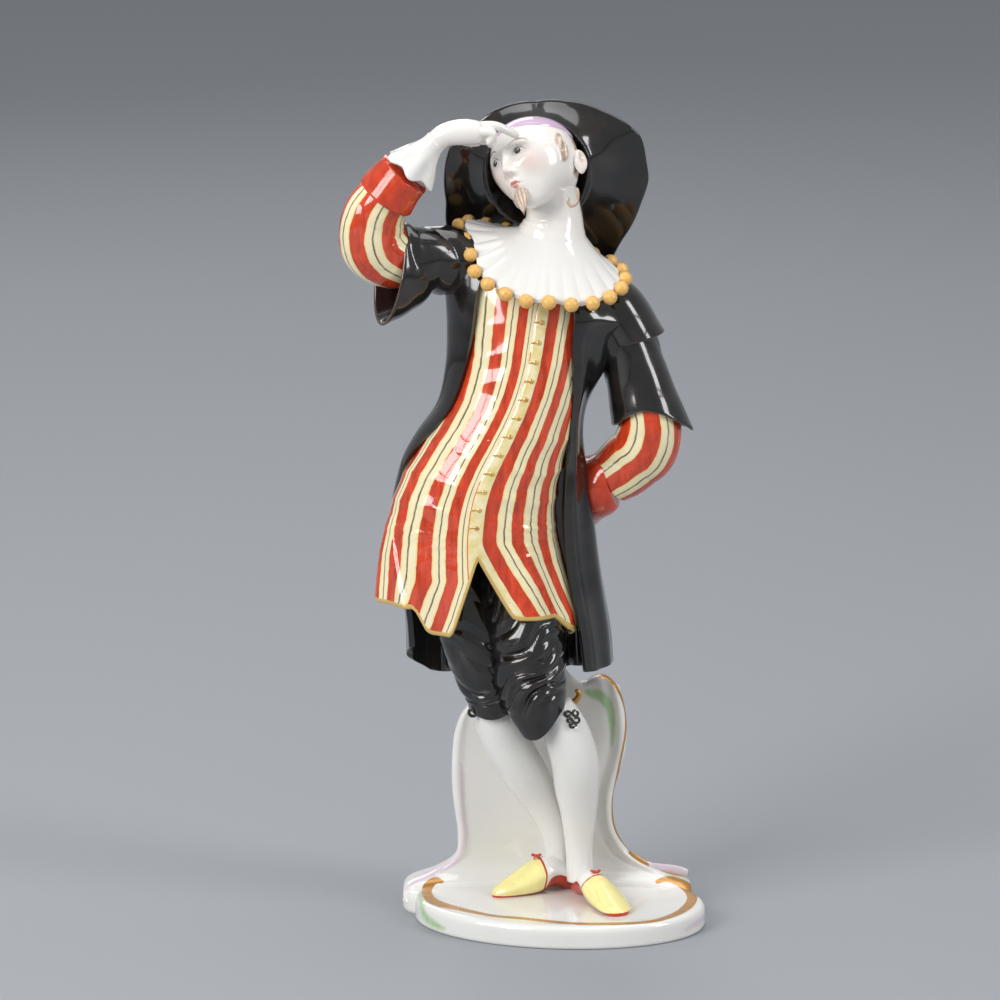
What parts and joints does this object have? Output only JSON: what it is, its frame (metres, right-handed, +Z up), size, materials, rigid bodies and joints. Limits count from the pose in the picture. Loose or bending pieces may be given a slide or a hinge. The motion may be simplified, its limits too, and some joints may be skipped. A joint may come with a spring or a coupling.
{
  "type": "porcelain comedy figure",
  "caption": "Glazed porcelain figure of a comedy player shading the brow, in wide hat, fluted collar, open coat and striped waistcoat, on a scrolled base.",
  "frame": {"origin": "centre of the base's underside", "axes": "+Z up the figure, -Y the way the body faces, +X to the viewer's right"},
  "size_m": [0.0882, 0.0508, 0.1999],
  "materials": {
    "white_glaze": "glossy clear glaze over warm white porcelain",
    "black_glaze": "glossy black enamel",
    "striped_glaze": "glossy iron red and cream enamel stripes",
    "red_glaze": "glossy iron red enamel",
    "ochre_glaze": "glossy ochre yellow enamel",
    "gilding": "soft gold fired on the glaze",
    "yellow_glaze": "glossy pale yellow enamel",
    "painted_flesh": "clear glaze with faint flesh tint and painted features"
  },
  "bodies": {
    "root": {"figure": "white_glaze"}
  },
  "joints": []
}
